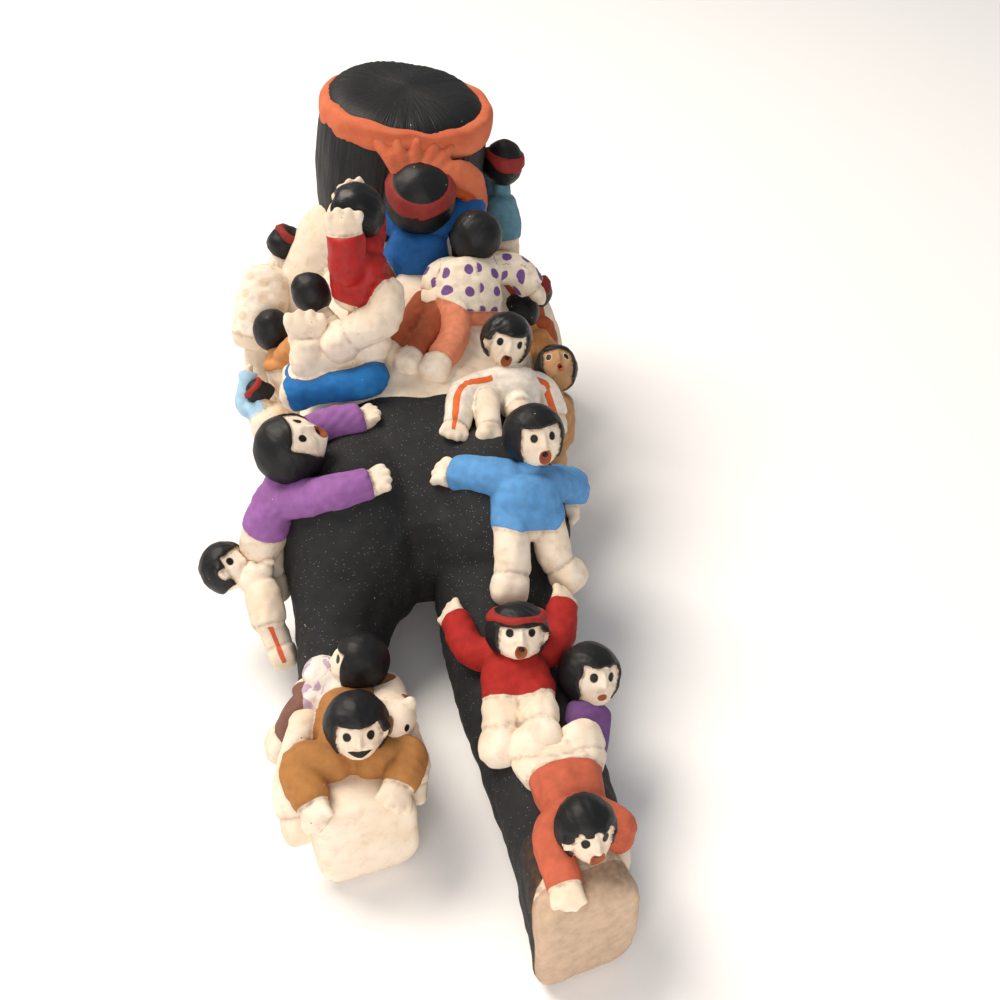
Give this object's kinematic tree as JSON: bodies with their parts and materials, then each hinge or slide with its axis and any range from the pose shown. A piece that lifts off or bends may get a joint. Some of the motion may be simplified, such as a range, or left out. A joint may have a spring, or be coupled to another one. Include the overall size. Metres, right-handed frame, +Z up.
{
  "type": "pueblo storyteller figure",
  "caption": "Hand-modelled clay storyteller lying on the belly with small children climbing over the legs, back and neck, painted in matte colours.",
  "frame": {"origin": "the flat of the belly, on the plane that the figure rests on, under the middle of the trunk", "axes": "+Z up, +Y along the body from the feet to the head, +X to the storyteller's right hand as seen from behind"},
  "size_m": [0.1073, 0.2506, 0.105],
  "materials": {
    "painted_clay": "matte"
  },
  "bodies": {
    "root": {"storyteller": "painted_clay"}
  },
  "joints": []
}
